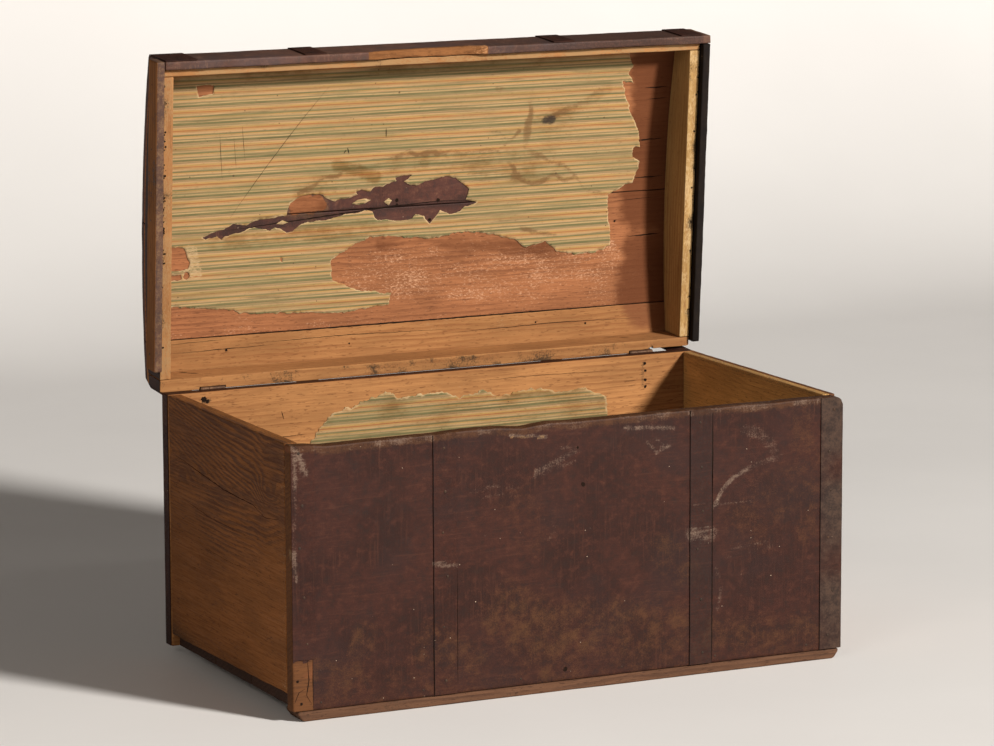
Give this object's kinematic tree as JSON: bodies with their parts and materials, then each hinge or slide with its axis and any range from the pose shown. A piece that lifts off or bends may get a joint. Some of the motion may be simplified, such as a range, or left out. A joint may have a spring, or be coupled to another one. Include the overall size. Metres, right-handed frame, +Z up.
{
  "type": "sea chest",
  "caption": "Nailed pine sea chest with iron straps, runners and a shallow domed lid that stands open on its hinges, lined with worn striped paper.",
  "frame": {"origin": "on the floor, under the middle of the whole with its lid open", "axes": "+X along the chest's length to the right of someone who stands in front of it, +Y from front to back, +Z up"},
  "size_m": [0.9544, 0.5714, 0.9341],
  "materials": {
    "front_paint": "worn oxblood paint",
    "side_pine": "bare and stained pine, matte",
    "back_pine": "stained pine, matte",
    "base_pine": "bare pine, matte",
    "lid_pine": "aged pine, matte",
    "lip_paint": "worn dark paint",
    "strap_iron": "worn paint over sheet iron",
    "hinge_iron": "dark wrought iron"
  },
  "bodies": {
    "chest": {"front_board": "front_paint", "back_board": "back_pine", "left_side_board": "side_pine", "right_side_board": "side_pine", "bottom_board_front": "base_pine", "bottom_board_middle": "base_pine", "bottom_board_rear": "base_pine", "front_runner": "base_pine", "back_runner": "base_pine", "front_strap_left_corner": "strap_iron", "front_strap_left": "strap_iron", "front_strap_right": "strap_iron", "front_strap_right_corner": "strap_iron", "back_strap_left_corner": "strap_iron", "back_strap_left": "strap_iron", "back_strap_right": "strap_iron", "back_strap_right_corner": "strap_iron", "hinge_body_leaf_left": "hinge_iron", "hinge_body_leaf_right": "hinge_iron", "hinge_pin_left": "hinge_iron", "hinge_pin_right": "hinge_iron"},
    "lid": {"lid_front_board": "lid_pine", "lid_back_board": "lid_pine", "lid_left_side_board": "lid_pine", "lid_right_side_board": "lid_pine", "lid_top_board_rear": "lid_pine", "lid_top_board_middle": "lid_pine", "lid_top_board_front": "lid_pine", "lid_front_lip": "lip_paint", "lid_left_lip": "lip_paint", "lid_right_lip": "lip_paint", "lid_strap_left_corner": "strap_iron", "lid_strap_left": "strap_iron", "lid_strap_right": "strap_iron", "lid_strap_right_corner": "strap_iron", "hinge_lid_leaf_left": "hinge_iron", "hinge_lid_leaf_right": "hinge_iron"}
  },
  "joints": [
    {"name": "lid_hinge", "type": "hinge", "parent": "chest", "child": "lid", "pos_m": [0, 0.21625, 0.412], "axis": [1, 0, 0], "range_deg": [0, 86]}
  ]
}
